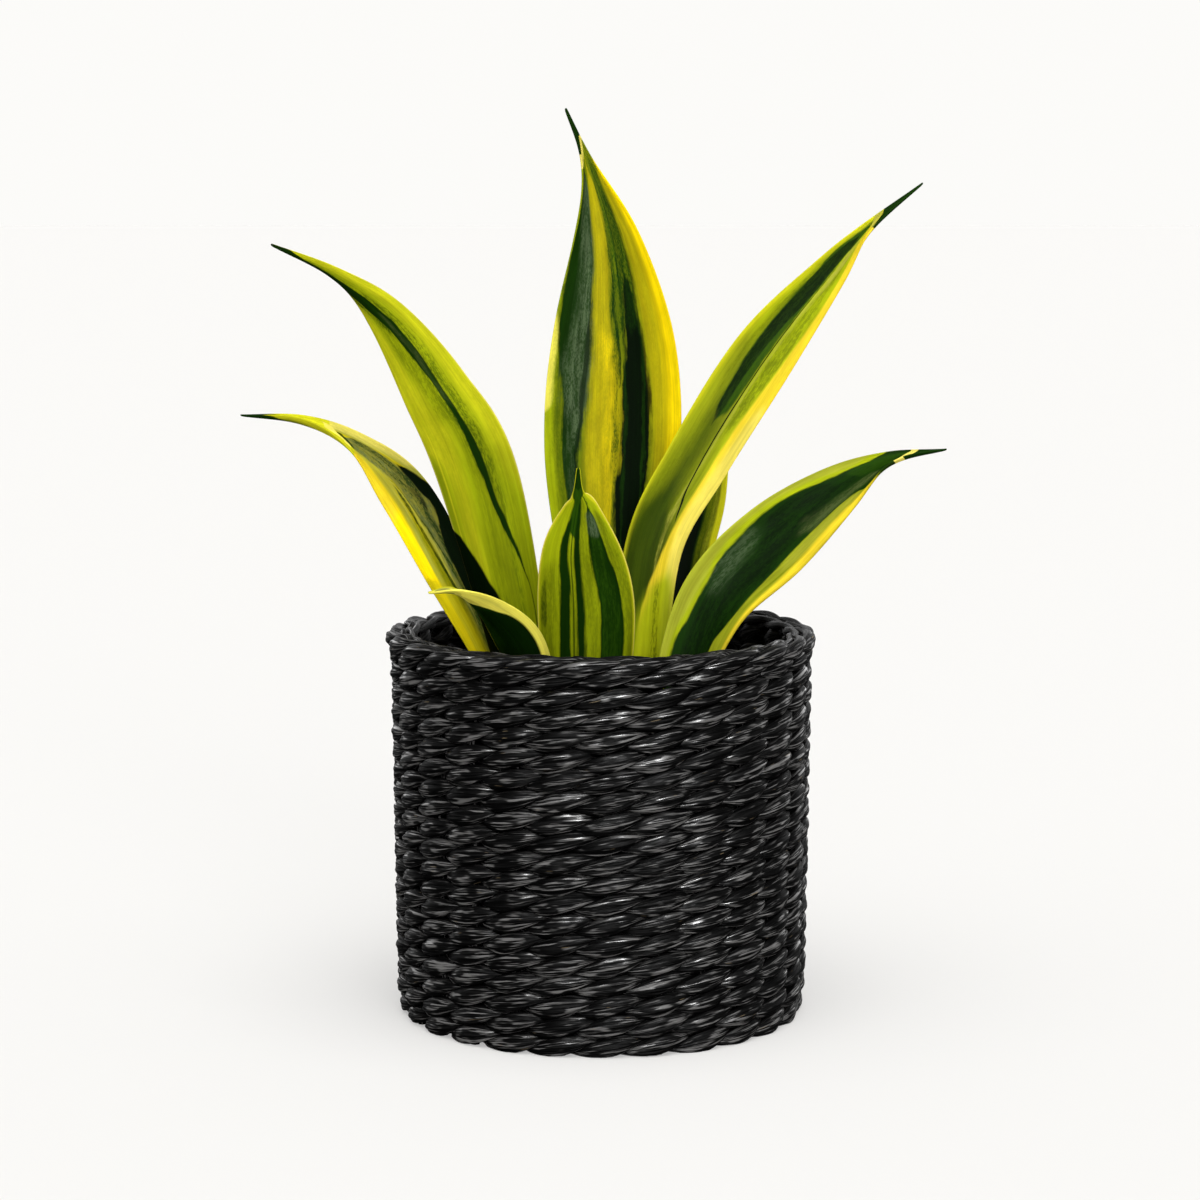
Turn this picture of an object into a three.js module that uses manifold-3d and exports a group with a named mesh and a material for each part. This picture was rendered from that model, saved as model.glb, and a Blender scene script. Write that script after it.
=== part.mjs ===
// A variegated snake plant in a nursery pot that stands in a twined basket. Millimetres, +Z up.
// The origin is the centre of the basket's underside, and the view from the front looks along +Y.
import * as THREE from "three";
import { mergeVertices } from "three/addons/utils/BufferGeometryUtils.js";
import Module from "manifold-3d";

const wasm = await Module();
wasm.setup();

// The basket: rows of paired weavers around upright stakes
const stakeCount = 26;
const stakeStep = (2 * Math.PI) / stakeCount;
const stakeTurn = -0.32 * stakeStep; // the first stake's bearing from +X
const ringSegments = 2 * stakeCount;
const rowCount = 19;
const wallHeight = 155.8;
const wallRadius = 86;
const wallInside = 76.5;
const footRadius = 85.2;
const weaverDip = 1.6; // how far a row draws in between two stakes
const rowRound = 1.6; // how far a row's upper and lower edges lie inside its bulge
const stakeRadius = 1.9;
const stakeCircle = 80;
const stakeGrooveRadius = 82.9;
const stakeSides = 6;
const rimRadius = 88;
const rimInside = 76.6;
const rimRound = 1; // how far the rim's lower corners lie inside its widest line
const rimCrown = 2; // and its upper corners
const basketHeight = 160;
const baseRadius = 76;
const baseThickness = 4.2;

// The nursery pot and the soil in it
const potHeight = 137;
const potFootRadius = 56;
const potMouthRadius = 73;
const potLip = 1.5;
const potLipHeight = 7;
const potWall = 1.6;
const potSegments = 40;
const drainHoleCount = 6;
const drainHoleRadius = 4;
const drainHoleCircle = 40;
const drainHoleSides = 10;
const soilEdgeHeight = 131.5;
const soilCrownHeight = 136;
const soilShoulder = 0.7; // of the soil's radius, halfway up to its crown
const soilCrown = 0.35; // of the soil's radius, where it levels out

const gap = 0.3; // between pieces that touch
const potStand = baseThickness + gap;

// A leaf: spine points from its foot in the soil to its tip, and at each point half the width of the
// blade, the way its upper face looks (bearing from +X towards +Y, then lift) and how far it is cupped.
const leaves = {
  leaf_tall_centre: {
    spine: [[3, 20, 112], [4, 21, 137], [4, 28, 207], [5, 33, 244], [5, 38, 282], [2, 43, 320],
      [-7, 46, 354], [-15, 44, 375]],
    halfWidth: [12, 16, 28, 30.5, 26.5, 15.5, 3.2, 0.5],
    facing: [[-90, 0], [-90, 0], [-90, 0], [-90, 0], [-90, 0], [-88, 0], [-60, 0], [-40, 0]],
    cup: [75, 65, 42, 32, 32, 38, 70, 70],
  },
  leaf_upper_left: {
    spine: [[-31, -2, 112], [-33, -3, 137], [-50, -14, 222], [-66.9, -20, 259], [-86, -26.2, 288.8],
      [-106.5, -31.6, 306.5], [-131, -38, 319]],
    halfWidth: [11, 14, 17.5, 14.6, 9.1, 4.3, 0.5],
    facing: [[70, 0], [75, 0], [88, 10], [92, 12], [105, 35], [100, 60], [100, 60]],
    cup: [75, 60, 30, 28, 35, 50, 50],
  },
  leaf_lower_left: {
    spine: [[-41.6, 12.6, 112.1], [-44.4, 13.8, 137.5], [-65.9, 24.6, 182], [-84.4, 34.6, 213.6],
      [-104.8, 42.3, 232.2], [-128, 48, 242], [-155, 54, 245]],
    halfWidth: [7.5, 9.1, 11.6, 11.4, 7.2, 5, 0.5],
    facing: [[-60, 0], [-60, 0], [-70, 0], [-75, 5], [-80, 55], [-90, 85], [-90, 85]],
    cup: [75, 65, 40, 35, 60, 80, 80],
  },
  leaf_small_left: {
    spine: [[-27, -26, 112], [-30, -31, 137], [-34, -41, 158], [-45, -50, 173], [-57, -58, 182],
      [-68, -64, 183]],
    halfWidth: [9, 12, 12, 9, 5, 0.5],
    facing: [[60, 0], [60, 10], [75, 25], [80, 60], [20, 88], [-90, 80]],
    cup: [75, 60, 50, 50, 45, 40],
  },
  leaf_small_front: {
    spine: [[-5, -27, 112], [-6, -30, 137], [-6, -36, 172], [-8, -41, 197], [-8, -45, 215],
      [-9, -47, 221], [-9, -50, 231]],
    halfWidth: [14, 20, 21.5, 17, 7.5, 2.4, 0.5],
    facing: [[90, 0], [90, 0], [90, 0], [90, 0], [90, 0], [90, 0], [90, 0]],
    cup: [60, 50, 40, 40, 45, 60, 60],
  },
  leaf_upper_right: {
    spine: [[16, 2, 112], [17, 2, 137], [22.1, 8, 193], [40.9, 18, 229.1], [69, 32, 272],
      [96.9, 46, 305.1], [114, 54, 324], [138, 62, 344]],
    halfWidth: [10.5, 12.5, 12.9, 14.1, 14.1, 8.5, 3.8, 0.5],
    facing: [[-100, 0], [-100, 0], [-95, 0], [-95, 0], [-95, 5], [-95, 20], [-95, 60], [-95, 80]],
    cup: [75, 60, 38, 32, 30, 42, 70, 70],
  },
  leaf_lower_right: {
    spine: [[32, -16, 112], [35, -16, 137], [48, -8, 172], [73, 1, 196], [99, 9, 216], [121, 15, 228],
      [145, 20, 233]],
    halfWidth: [11, 14, 16.5, 17.5, 12, 5.5, 0.5],
    facing: [[-120, 0], [-120, 0], [-110, 10], [-105, 15], [-100, 30], [-95, 65], [-95, 85]],
    cup: [75, 60, 35, 30, 35, 70, 80],
  },
  leaf_rear_right: {
    spine: [[28, 32, 112], [29.7, 34.2, 137.2], [37.2, 49.1, 183.3], [43.5, 60.1, 208.3],
      [50.2, 71.1, 233.3], [62, 80, 252]],
    halfWidth: [10, 11.7, 11.5, 11.3, 7.2, 0.5],
    facing: [[-100, 0], [-100, 0], [-95, 0], [-95, 0], [-95, 10], [-95, 20]],
    cup: [75, 60, 40, 38, 45, 60],
  },
};
const leafThickness = 3; // along the midrib, near the foot
const leafMargin = 0.8; // the thickness of the blade's edge
const leafTipThickness = 1;
const leafStations = 16;
const leafStrips = 6;

const materials = {
  fibre: new THREE.MeshStandardMaterial({ color: 0x1c1c1d, roughness: 0.62, metalness: 0 }),
  plastic: new THREE.MeshStandardMaterial({ color: 0x17191a, roughness: 0.5, metalness: 0 }),
  soil: new THREE.MeshStandardMaterial({ color: 0x2c2018, roughness: 0.95, metalness: 0 }),
  leaf: new THREE.MeshStandardMaterial({ color: 0x7d9a1c, roughness: 0.42, metalness: 0 }),
};

const plant = new THREE.Group();

function addPiece(name, geometry, material) {
  const mesh = new THREE.Mesh(geometry, material);
  mesh.name = name;
  plant.add(mesh);
  return mesh;
}

// A solid of revolution about Z from [radius, height] corners
function turned(corners, segments) {
  const outline = corners.map(([radius, height]) => new THREE.Vector2(radius, height));
  return new THREE.LatheGeometry(outline, segments).rotateX(Math.PI / 2);
}

function solidOf(geometry) {
  const bare = geometry.clone();
  bare.deleteAttribute("normal");
  bare.deleteAttribute("uv");
  const merged = mergeVertices(bare, 1e-3);
  const vertProperties = new Float32Array(merged.attributes.position.array);
  const triVerts = new Uint32Array(merged.index.array);
  return new wasm.Manifold(new wasm.Mesh({ numProp: 3, vertProperties, triVerts }));
}

function geometryOf(solid) {
  const { vertProperties, triVerts } = solid.getMesh();
  const geometry = new THREE.BufferGeometry();
  geometry.setAttribute("position", new THREE.BufferAttribute(vertProperties, 3));
  geometry.setIndex(new THREE.BufferAttribute(triVerts, 1));
  geometry.computeVertexNormals();
  return geometry;
}

// Draws a ring in between the stakes and opens a groove for each stake on its inner side
function shapeAroundStakes(geometry, inside, dip) {
  const place = geometry.attributes.position;
  for (let i = 0; i < place.count; i++) {
    const radius = Math.hypot(place.getX(i), place.getY(i));
    const angle = Math.atan2(place.getY(i), place.getX(i));
    const atStake = Math.cos(angle * stakeCount) > 0;
    const onInside = radius - inside < wallRadius - radius;
    let wanted = radius;
    if (onInside && atStake) wanted = stakeGrooveRadius;
    if (!onInside && !atStake) wanted = radius - dip;
    place.setXY(i, wanted * Math.cos(angle), wanted * Math.sin(angle));
  }
  return geometry.rotateZ(stakeTurn);
}

function weaveRow(bottom, top, radius) {
  const middle = (bottom + top) / 2;
  const corners = [
    [wallInside, bottom],
    [radius - rowRound, bottom],
    [radius, middle],
    [radius - rowRound, top],
    [wallInside, top],
    [wallInside, bottom],
  ];
  return shapeAroundStakes(turned(corners, ringSegments), wallInside, weaverDip);
}

function addBasket() {
  const rowHeight = wallHeight / rowCount;
  for (let row = 0; row < rowCount; row++) {
    const bottom = row * rowHeight;
    const top = bottom + rowHeight - gap;
    const radius = row === 0 ? footRadius : wallRadius;
    const name = `weave_row_${String(row + 1).padStart(2, "0")}`;
    addPiece(name, weaveRow(bottom, top, radius), materials.fibre);
  }

  const stakeLength = wallHeight - gap;
  for (let i = 0; i < stakeCount; i++) {
    const angle = i * stakeStep + stakeTurn;
    const rod = new THREE.CylinderGeometry(stakeRadius, stakeRadius, stakeLength, stakeSides);
    const stake = addPiece(`stake_${String(i + 1).padStart(2, "0")}`, rod, materials.fibre);
    stake.rotation.x = Math.PI / 2;
    stake.position.x = stakeCircle * Math.cos(angle);
    stake.position.y = stakeCircle * Math.sin(angle);
    stake.position.z = stakeLength / 2;
  }

  const rimBottom = wallHeight;
  const rimMiddle = (rimBottom + basketHeight) / 2;
  const rim = [
    [rimInside + rimRound, rimBottom],
    [rimRadius - rimRound, rimBottom],
    [rimRadius, rimMiddle],
    [rimRadius - rimCrown, basketHeight],
    [rimInside + rimCrown, basketHeight],
    [rimInside, rimMiddle],
    [rimInside + rimRound, rimBottom],
  ];
  addPiece("rim_border", turned(rim, ringSegments), materials.fibre);

  const base = [
    [0, 0],
    [baseRadius, 0],
    [baseRadius, baseThickness],
    [0, baseThickness],
  ];
  addPiece("woven_base", turned(base, ringSegments), materials.fibre);
}

function addNurseryPot() {
  const top = potStand + potHeight;
  const lipBottom = top - potLipHeight;
  const corners = [
    [0, potStand],
    [potFootRadius, potStand],
    [potMouthRadius - potLip, lipBottom],
    [potMouthRadius + potLip, lipBottom],
    [potMouthRadius + potLip, top],
    [potMouthRadius, top],
    [potMouthRadius - potWall, lipBottom],
    [potFootRadius - potWall, potStand + potWall],
    [0, potStand + potWall],
  ];
  let pot = solidOf(turned(corners, potSegments));
  const drillLength = 4 * potWall;
  for (let i = 0; i < drainHoleCount; i++) {
    const angle = (i * 2 * Math.PI) / drainHoleCount;
    const x = drainHoleCircle * Math.cos(angle);
    const y = drainHoleCircle * Math.sin(angle);
    const drill = new THREE.CylinderGeometry(drainHoleRadius, drainHoleRadius, drillLength, drainHoleSides);
    drill.rotateX(Math.PI / 2);
    drill.translate(x, y, potStand + potWall / 2);
    pot = pot.subtract(solidOf(drill));
  }
  addPiece("nursery_pot", geometryOf(pot), materials.plastic);
}

function curveThrough(points) {
  return new THREE.CatmullRomCurve3(points, false, "catmullrom", 0.5);
}

function lookAlong([bearing, lift]) {
  const a = THREE.MathUtils.degToRad(bearing);
  const b = THREE.MathUtils.degToRad(lift);
  return new THREE.Vector3(Math.cos(a) * Math.cos(b), Math.sin(a) * Math.cos(b), Math.sin(b));
}

// Bends a flat slab into the blade. grow makes it larger all round, for the pocket that it stands in.
function bladeOf(leaf, grow) {
  const blade = new THREE.BoxGeometry(2, 1, 1, leafStrips, leafStations, 1);
  const spine = curveThrough(leaf.spine.map((p) => new THREE.Vector3(...p)));
  const facing = curveThrough(leaf.facing.map(lookAlong));
  const form = curveThrough(
    leaf.halfWidth.map((half, i) => new THREE.Vector3(half, THREE.MathUtils.degToRad(leaf.cup[i]), 0)),
  );
  const place = blade.attributes.position;
  for (let i = 0; i < place.count; i++) {
    const across = place.getX(i);
    const along = place.getY(i) + 0.5;
    const side = Math.sign(place.getZ(i));
    const tangent = spine.getTangent(along);
    const face = facing.getPoint(along).projectOnPlane(tangent).normalize();
    const broad = new THREE.Vector3().crossVectors(tangent, face);
    const { x: half, y: cup } = form.getPoint(along);
    const turn = cup * across;
    const middle = THREE.MathUtils.lerp(leafThickness, leafTipThickness, along);
    const thickness = THREE.MathUtils.lerp(middle, leafMargin, across * across);
    const out = (side * thickness) / 2 + side * grow;
    const reach = (half * Math.sin(turn)) / cup + across * grow - out * Math.sin(turn);
    const rise = (half * (1 - Math.cos(turn))) / cup + out * Math.cos(turn);
    const point = spine.getPoint(along);
    point.addScaledVector(broad, reach).addScaledVector(face, rise);
    if (along === 0) point.addScaledVector(tangent, -grow);
    place.setXYZ(i, point.x, point.y, point.z);
  }
  blade.computeVertexNormals();
  return blade;
}

function addSoilAndLeaves() {
  const bottom = potStand + potWall + gap;
  const wallSlope = (potMouthRadius - potFootRadius) / (potHeight - potLipHeight);
  const footRadiusOfSoil = potFootRadius - potWall - 2 * gap;
  const edgeRadius = footRadiusOfSoil + wallSlope * (soilEdgeHeight - bottom) - 2 * gap;
  const corners = [
    [0, bottom],
    [footRadiusOfSoil, bottom],
    [edgeRadius, soilEdgeHeight],
    [soilShoulder * edgeRadius, (soilEdgeHeight + soilCrownHeight) / 2],
    [soilCrown * edgeRadius, soilCrownHeight],
    [0, soilCrownHeight],
  ];
  let soil = solidOf(turned(corners, potSegments));
  for (const [name, leaf] of Object.entries(leaves)) {
    soil = soil.subtract(solidOf(bladeOf(leaf, gap)));
    addPiece(name, bladeOf(leaf, 0), materials.leaf);
  }
  addPiece("soil", geometryOf(soil), materials.soil);
}

addBasket();
addNurseryPot();
addSoilAndLeaves();

export default plant;
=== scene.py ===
import math
import random

import bpy
import numpy as np
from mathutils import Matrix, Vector


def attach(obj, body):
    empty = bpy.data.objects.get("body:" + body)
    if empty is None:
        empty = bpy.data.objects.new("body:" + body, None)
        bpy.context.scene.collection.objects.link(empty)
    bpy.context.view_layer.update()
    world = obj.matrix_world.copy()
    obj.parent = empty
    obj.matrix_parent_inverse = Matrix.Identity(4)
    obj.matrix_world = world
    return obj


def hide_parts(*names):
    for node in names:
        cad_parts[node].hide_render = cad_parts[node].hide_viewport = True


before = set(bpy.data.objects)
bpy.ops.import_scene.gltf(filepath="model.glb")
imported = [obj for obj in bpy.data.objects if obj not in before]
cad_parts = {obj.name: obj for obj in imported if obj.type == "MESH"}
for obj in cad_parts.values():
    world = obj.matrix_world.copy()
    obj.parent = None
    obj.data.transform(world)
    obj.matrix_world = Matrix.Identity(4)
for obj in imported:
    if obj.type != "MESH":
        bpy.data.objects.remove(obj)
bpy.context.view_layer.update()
mm = 0.001


# Shared helpers

def selectOnly(*pieces):
    # the first of them becomes the active object
    for obj in bpy.context.selected_objects:
        obj.select_set(False)
    for obj in pieces:
        obj.select_set(True)
    bpy.context.view_layer.objects.active = pieces[0]


def verticesOf(obj):
    places = np.empty(len(obj.data.vertices) * 3)
    obj.data.vertices.foreach_get("co", places)
    return places.reshape(-1, 3)


def moveVertices(obj, places):
    obj.data.vertices.foreach_set("co", np.asarray(places, float).ravel())
    obj.data.update()


def applyModifier(obj, kind, **settings):
    modifier = obj.modifiers.new(kind, kind)
    for key, value in settings.items():
        setattr(modifier, key, value)
    selectOnly(obj)
    bpy.ops.object.modifier_apply(modifier=modifier.name)


def finishPiece(obj, name, material, nodes):
    selectOnly(obj)
    bpy.ops.object.transform_apply(location=True, rotation=True, scale=True)
    bpy.ops.object.shade_smooth()
    obj.name = name
    obj.data.name = name
    obj.data.materials.clear()
    obj.data.materials.append(material)
    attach(obj, "root")
    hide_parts(*nodes)
    obj.select_set(False)


def between(low, high, share):
    return low + (high - low) * share


def colour(red, green, blue):
    # screen values from 0 to 255, as linear light
    parts = [c / 255 for c in (red, green, blue)]
    return [c / 12.92 if c < 0.04045 else ((c + 0.055) / 1.055) ** 2.4 for c in parts] + [1]


# Shader helpers

def feed(socket, value):
    # a link if the value comes from another node
    if isinstance(value, bpy.types.NodeSocket):
        socket.id_data.links.new(value, socket)
    else:
        socket.default_value = value


def addNode(tree, kind, inputs=None, **settings):
    node = tree.nodes.new("ShaderNode" + kind)
    for key, value in settings.items():
        setattr(node, key, value)
    for key, value in (inputs or {}).items():
        feed(node.inputs[key], value)
    return node


def treeOf(values):
    # the node tree of the first value that is a socket
    return next(value.id_data for value in values if isinstance(value, bpy.types.NodeSocket))


def addMaths(kind, *values, **settings):
    return addNode(treeOf(values), kind, dict(enumerate(values)), **settings).outputs


def calc(operation, *values):
    return addMaths("Math", *values, operation=operation)[0]


def times(first, second):
    return calc("MULTIPLY", first, second)


def timesPlus(first, second, third):
    return calc("MULTIPLY_ADD", first, second, third)


def mixColours(amount, first, second, blend="MIX"):
    # sockets 1 to 5 of the node mix floats and vectors
    inputs = {0: amount, 6: first, 7: second}
    node = addNode(treeOf(inputs.values()), "Mix", inputs, data_type="RGBA", blend_type=blend)
    return node.outputs[2]


def remap(value, fromLow, fromHigh, toLow=0.0, toHigh=1.0, kind="SMOOTHSTEP"):
    return addMaths("MapRange", value, fromLow, fromHigh, toLow, toHigh, interpolation_type=kind)[0]


def joinXYZ(*parts):
    return addMaths("CombineXYZ", *parts)[0]


def splitXYZ(vector):
    return addMaths("SeparateXYZ", vector)


def uvPlace(tree):
    return splitXYZ(addNode(tree, "UVMap").outputs[0])


def objectPlace(tree):
    return addNode(tree, "TexCoord").outputs["Object"]


def noise(vector, scale, detail=2.0, roughness=0.5):
    inputs = {"Vector": vector, "Scale": scale, "Detail": detail, "Roughness": roughness}
    return addNode(vector.id_data, "TexNoise", inputs).outputs["Fac"]


def newGroup(name, inputs, outputs):
    # the names of the sockets, by their kind
    group = bpy.data.node_groups.new(name, "ShaderNodeTree")
    for side, kinds in (("INPUT", inputs), ("OUTPUT", outputs)):
        for kind, titles in kinds.items():
            for title in titles.split():
                group.interface.new_socket(title, in_out=side, socket_type="NodeSocket" + kind)
    return group, group.nodes.new("NodeGroupInput").outputs, group.nodes.new("NodeGroupOutput").inputs


def useGroup(tree, group, inputs):
    return addNode(tree, "Group", inputs, node_tree=group).outputs


def newMaterial(name, **values):
    material = bpy.data.materials.new(name)
    material.use_nodes = True
    shader = material.node_tree.nodes["Principled BSDF"]
    for key, value in values.items():
        shader.inputs[key.replace("_", " ")].default_value = value
    return material, material.node_tree


def dressShader(material, inputs, height=None, bump=None):
    # bump is its strength and its depth in metres
    tree = material.node_tree
    if bump:
        bumped = addNode(tree, "Bump", {"Height": height, "Strength": bump[0], "Distance": bump[1]})
        inputs["Normal"] = bumped.outputs[0]
    for key, value in inputs.items():
        feed(tree.nodes["Principled BSDF"].inputs[key], value)
    return material


# Leaves

palette = {
    "yellow": colour(250, 219, 8),
    "gold": colour(184, 170, 14),
    "honey": colour(230, 203, 44),
    "butter": colour(232, 217, 100),
    "cream": colour(255, 243, 96),
    "citrus": colour(203, 201, 28),
    "lime": colour(167, 180, 15),
    "moss": colour(138, 144, 26),
    "olive": colour(112, 124, 10),
    "grass": colour(40, 74, 6),
    "forest": colour(19, 48, 3),
    "ink": colour(4, 18, 2),
    # the frosty and sheen colours are painted sheen, the soft gloss of light on the blades, in part also the
    # leaves' own pale waxy bloom
    "frost": colour(86, 104, 72),
    "sheen": colour(88, 98, 54),
    "sage": colour(170, 168, 62),
}

leafShape = {
    "acrossCuts": 21,
    "alongCuts": 64,
    "thickness": 3,
    "tipThickness": 1,
    "marginThickness": 0.8,
    "leastHalfWidth": 0.35,
}

leafLook = {
    # noises that tear and mottle the stripes: a cell's size across and along in millimetres, a shift,
    # the detail and the roughness
    "tears": (4, 15, 0, 5, 0.65),
    "streaks": (1.2, 22, 5, 2, 0.5),
    "blotches": (2.2, 14, 9, 5, 0.65),
    "specks": (0.5, 1.6, 12, 2, 0.6),
    "fibresPerWidth": 2,
    "fibreLength": 14,
    "seedStep": 7.3,
    "bump": (0.35, 0.0004),
}

# A point, from the foot to the tip, is its x, y and z and half the blade's width in millimetres, and in
# degrees the bearing and the lift of the way that the upper face looks, and the blade's cup. A stripe is
# a colour and, all in percent, how soft and how frayed its edges are, places along the blade, its left
# and its right edge at these places, out of half the width (one number if it stays the same), and then,
# if it isn't solid, its strength and how mottled it is.
leaves = {}
leaves["leaf_tall_centre"] = {
    "points": [(3, 20, 112, 12, -90, 0, 75), (4, 21, 137, 16, -90, 0, 65), (4, 28, 207, 28, -90, 0, 42),
               (5, 33, 244, 30.5, -90, 0, 32), (5, 38, 282, 26.5, -90, 0, 32), (2, 43, 320, 15.5, -88, 0, 38),
               (-7, 46, 354, 3.2, -60, 0, 70), (-15, 44, 375, .5, -40, 0, 70)],
    "ground": "olive",
    "stripes": [
        ("lime", 6, 4, (0, 40, 52, 60), -130, (-80, -86, -88, -98)),
        ("cream", 5, 3, (40, 46, 56, 64), -130, (-130, -90, -90, -110), 90),
        ("grass", 12, 10, (30, 45, 55, 72), (-86, -90, -95, -100), (-50, -50, -60, -60), 50, 70),
        ("forest", 3, 6, (28, 35, 40, 45, 50, 55, 60, 70, 76, 82, 86),
         (-68, -71, -74, -75, -80, -87, -94, -97, -95, -90, -70),
         (-50, -49, -45, -39, -35, -32, -33, -37, -41, -50, -70)),
        ("frost", 10, 12, (34, 41, 48, 55, 62, 70, 80, 86), (-60, -62, -74, -70, -62, -70, -85, -70),
         (-56, -46, -36, -34, -36, -38, -45, -70), 85, 80),
        ("ink", 2, 5, (34, 42, 50, 56, 62), (-54, -50, -47, -44, -40), (-50, -44, -39, -36, -40), 85, 40),
        ("gold", 7, 5, (0, 30, 35, 45, 50, 55, 60, 66, 72, 79, 85),
         (-40, -38, -38, -35, -32, -31, -32, -32, -36, -40, -20), (10, 3, 12, 12, 9, 3, -4, 0, 5, 10, -10),
         95, 25),
        ("yellow", 12, 10, (0, 30, 38, 48, 55, 60), (-12, -10, -12, -10, -20, -15), (12, 4, 12, 10, 0, -15),
         50, 50),
        ("grass", 6, 12, (55, 60, 66, 72, 78, 84, 88), (0, -3, -2, 0, 5, 20, 40),
         (10, 44, 48, 50, 55, 68, 40), 95, 60),
        ("ink", 3, 8, (0, 25, 30, 35, 45, 50, 55, 60, 64, 68), (10, 8, 5, 12, 12, 15, 20, 19, 25, 30),
         (56, 53, 53, 53, 55, 52, 48, 43, 38, 30)),
        ("forest", 6, 12, (54, 60, 66, 72, 78, 83), (30, 20, 20, 24, 32, 42), (30, 46, 46, 46, 46, 42),
         80, 65),
        ("forest", 1.2, 6, (46, 50, 57, 60, 66, 78), (8, 8, 5, 0, 3, 5), (8, 12, 9, 6, 6, 5), 95, 30),
        ("forest", 1.2, 6, (60, 68, 76, 84), (15, 16, 20, 30), (19, 19, 22, 30), 90, 40),
        ("forest", 1.2, 6, (60, 68, 76, 84), (42, 43, 46, 55), (47, 47, 49, 55), 90, 40),
        ("gold", 9, 4, (0, 45, 55, 65, 75, 82, 85), (60, 58, 52, 50, 50, 65, 90),
         (80, 80, 80, 80, 85, 95, 90), 95, 20),
        ("yellow", 10, 2, (0, 50, 60, 70, 78, 84, 90), (80, 78, 78, 78, 80, 95, 120), 130),
        ("butter", 8, 0, (82, 84, 86, 88, 90, 92, 94), (-130, -130, -130, -90, -30, 50, 130),
         (-130, -80, -30, 30, 90, 130, 130), 85),
        ("forest", 8, 0, (85, 87, 89, 91, 93, 100), -130, (-130, -80, -20, 50, 130, 130)),
    ],
}
leaves["leaf_upper_left"] = {
    "points": [(-31, -2, 112, 11, 70, 0, 75), (-33, -3, 137, 14, 75, 0, 60),
               (-50, -14, 222, 17.5, 88, 10, 30), (-66.9, -20, 259, 14.6, 92, 12, 28),
               (-86, -26.2, 288.8, 9.1, 105, 35, 35), (-106.5, -31.6, 306.5, 4.3, 100, 60, 50),
               (-131, -38, 319, .5, 100, 60, 50)],
    "ground": "lime",
    "stripes": [
        ("citrus", 25, 8, (24, 36, 50, 70, 95), -130, (-130, -60, -55, -50, -40), 95, 30),
        # painted shade: this soft olive band darkens the blade towards its foot, where it lies in the shade
        # of the other leaves
        ("olive", 35, 10, (0, 30, 38, 46, 52), (-130, -130, -60, 0, 20), (130, 130, 100, 40, 20), 45, 30),
        ("citrus", 20, 8, (32, 40, 50, 60, 75), (30, 20, 30, 50, 60), (60, 100, 130, 130, 130), 90, 30),
        ("olive", 18, 14, (30, 38, 50, 62, 72, 85), (-50, -50, -56, -54, -50, -40), (-20, -10, 0, 10, 10, 40),
         40, 60),
        ("olive", 14, 14, (40, 47, 56, 64, 70, 76), (-10, -8, 0, 10, 20, 40), (0, 30, 44, 50, 66, 80),
         70, 70),
        ("grass", 6, 16, (30, 36, 44, 56, 68, 74), (-46, -45, -44, -46, -36, -20), (-40, -10, -5, 6, 20, 30),
         60, 90),
        ("grass", 5, 16, (60, 66, 72, 78), (20, 16, 30, 50), (20, 36, 60, 90), 80, 60),
        ("forest", 2, 5, (22, 26, 30, 33, 38, 45, 50, 55, 60, 65, 70, 75, 79, 82, 88, 94, 100), (-74, -62,
         -40, -29, -27, -23, -23, -22, -20, -17, -9, -6, -2, -2, -10, -60, -120), (-72, -58, -26, -15, -10,
         -10, -8, -1, 8, 18, 34, 54, 100, 130, 130, 130, 130)),
        ("sheen", 5, 10, (42, 48, 56, 62, 68, 72), (-17, -19, -17, -10, 0, 10), (-17, -12, -6, 4, 8, 10),
         40, 60),
        ("citrus", 2, 1, (24, 30, 45, 52), (72, 74, 74, 76), (72, 79, 78, 76), 80),
        ("butter", 3, 1, (0, 55, 66), (95, 96, 100), 130, 60),
        # painted shade: this ink wedge at the foot blackens the blade where it lies in the shade of the
        # leaves beside it
        ("ink", 4, 1, (0, 22, 25.5, 29, 32), (-20, 0, 30, 80, 120), 130),
        ("butter", 3, 1, (0, 80, 92), -130, (-97, -96, -100), 60),
    ],
}
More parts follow.
